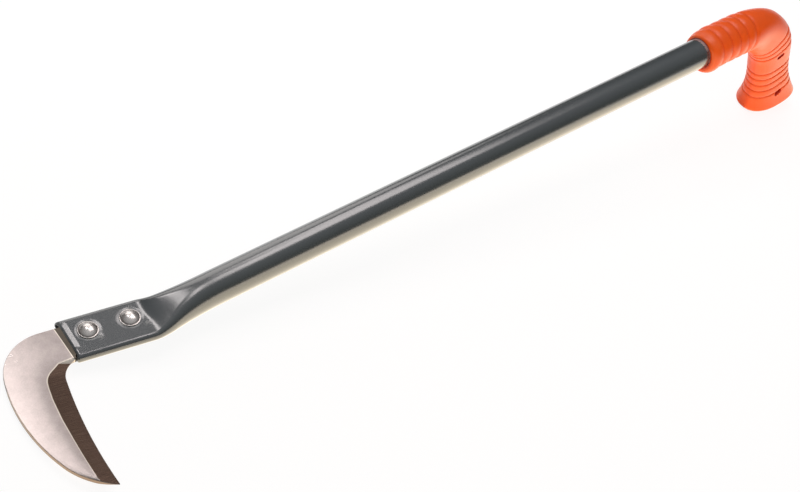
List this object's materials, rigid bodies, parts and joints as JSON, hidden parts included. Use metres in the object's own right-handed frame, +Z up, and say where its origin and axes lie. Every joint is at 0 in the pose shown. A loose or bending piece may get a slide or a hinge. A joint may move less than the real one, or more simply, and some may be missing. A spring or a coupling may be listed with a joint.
{
  "type": "brush knife",
  "caption": "Long-handled brush knife: tubular steel shaft pressed flat round a riveted hooked blade, with a moulded pistol grip set square to the blade.",
  "frame": {"origin": "centre of the bounding box's bottom, on the floor that the blade's back and the grip's foot rest on", "axes": "+X runs from the blade to the grip along the floor, -Y is the side that the blade hooks towards, +Z is up"},
  "size_m": [0.8304, 0.129, 0.1228],
  "materials": {
    "painted_tube": "gloss slate grey-green paint",
    "blade_steel": "satin flats with a cross-ground bevel",
    "rivet_steel": "bright plated",
    "grip_plastic": "semi-gloss moulded orange"
  },
  "bodies": {
    "root": {"shaft_tube": "painted_tube", "blade": "blade_steel", "front_rivet": "rivet_steel", "rear_rivet": "rivet_steel", "grip": "grip_plastic"}
  },
  "joints": []
}
